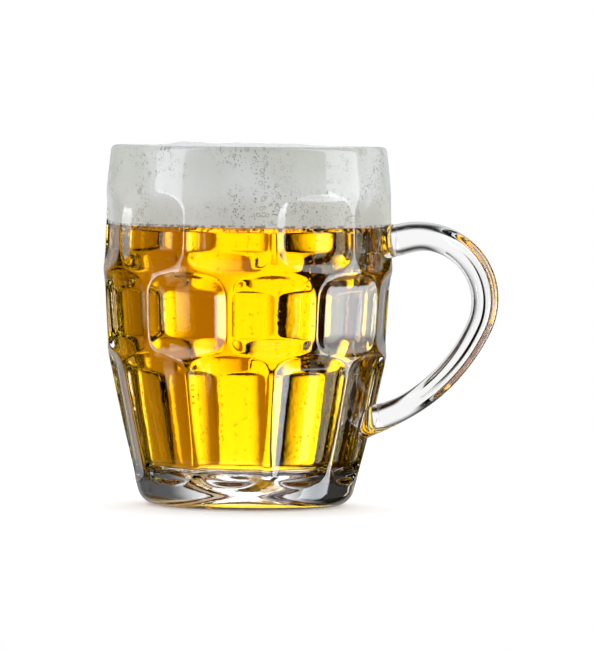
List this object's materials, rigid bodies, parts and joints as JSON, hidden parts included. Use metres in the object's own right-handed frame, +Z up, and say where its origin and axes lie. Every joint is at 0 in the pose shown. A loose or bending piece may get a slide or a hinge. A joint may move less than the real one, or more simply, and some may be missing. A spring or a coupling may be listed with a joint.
{
  "type": "beer mug",
  "caption": "Pressed glass beer mug with staggered round dimples, upright flutes, a thick base and a bow handle, filled with pale beer under a head of foam.",
  "frame": {"origin": "middle of the flat base, on the vessel's axis, in the plane that the mug stands on", "axes": "+Z up along the vessel's axis, +X out through the middle of the handle, +Y to the left of a person who faces along +X"},
  "size_m": [0.1369, 0.0996, 0.1256],
  "materials": {
    "vessel_glass": "clear pressed glass, fire-polished",
    "handle_glass": "clear solid glass, fire-polished",
    "beer": "clear golden liquid with fine bubbles",
    "foam": "matt off-white froth with fine open bubbles"
  },
  "bodies": {
    "root": {"glass_body": "vessel_glass", "handle": "handle_glass", "beer": "beer", "foam_head": "foam"}
  },
  "joints": []
}
